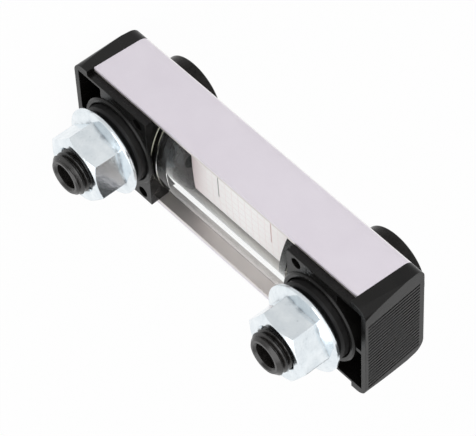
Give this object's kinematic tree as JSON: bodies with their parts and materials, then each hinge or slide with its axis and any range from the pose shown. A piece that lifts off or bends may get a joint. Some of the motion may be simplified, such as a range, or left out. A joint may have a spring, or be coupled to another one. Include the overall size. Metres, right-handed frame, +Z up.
{
  "type": "tank level gauge",
  "caption": "Fluid level gauge for a tank wall: channel housing over a clear sight chamber, ribbed moulded end caps, hollow bolts with flange nuts.",
  "frame": {"origin": "on the plane of the tank wall, midway between the two hollow bolts", "axes": "+Z up along the gauge, +Y into the tank along the bolts, +X across the gauge"},
  "size_m": [0.0344, 0.0436, 0.109],
  "materials": {
    "housing_sheet": "smooth pale lavender-grey satin coat",
    "black_moulding": "black glass-filled moulding, faint grain",
    "seal_rubber": "black rubber, slight sheen",
    "black_bolt_steel": "black oxide, oiled",
    "zinc_plated_steel": "bright bluish zinc plating",
    "clear_plastic": "clear polished plastic",
    "white_plate": "white plate with level marks"
  },
  "bodies": {
    "root": {"housing": "housing_sheet", "sight_chamber": "clear_plastic", "scale_plate": "white_plate", "upper_end_cap": "black_moulding", "upper_chamber_seal": "seal_rubber", "upper_hollow_bolt": "black_bolt_steel", "upper_head_seal": "seal_rubber", "upper_tank_seal": "seal_rubber", "upper_flange_nut": "zinc_plated_steel", "lower_end_cap": "black_moulding", "lower_chamber_seal": "seal_rubber", "lower_hollow_bolt": "black_bolt_steel", "lower_head_seal": "seal_rubber", "lower_tank_seal": "seal_rubber", "lower_flange_nut": "zinc_plated_steel"}
  },
  "joints": []
}
